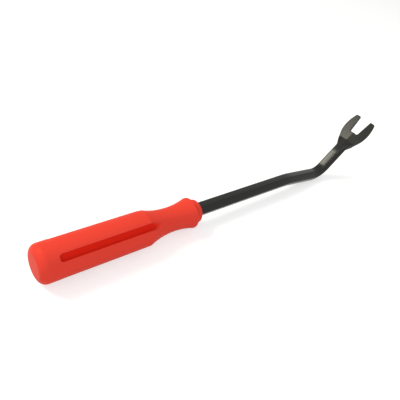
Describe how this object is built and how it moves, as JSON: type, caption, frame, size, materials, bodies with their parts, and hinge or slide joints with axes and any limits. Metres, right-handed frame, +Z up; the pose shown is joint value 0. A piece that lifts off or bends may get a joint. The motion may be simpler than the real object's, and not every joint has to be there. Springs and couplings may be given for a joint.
{
  "type": "trim removal tool",
  "caption": "Hand tool for prising out trim clips: a moulded, fluted handle on a bent hexagonal steel bar that is forged into a flat fork with a tapered slot.",
  "frame": {"origin": "on the ground under the middle of the tool's length, in the plane of its bends", "axes": "+X from the butt of the handle towards the fork, +Z up, with the tool lying on its grip and its heel"},
  "size_m": [0.2688, 0.022, 0.0452],
  "materials": {
    "red_plastic": "smooth moulding",
    "blackened_steel": "black oxide, semi-gloss"
  },
  "bodies": {
    "root": {"handle": "red_plastic", "forked_bar": "blackened_steel"}
  },
  "joints": []
}
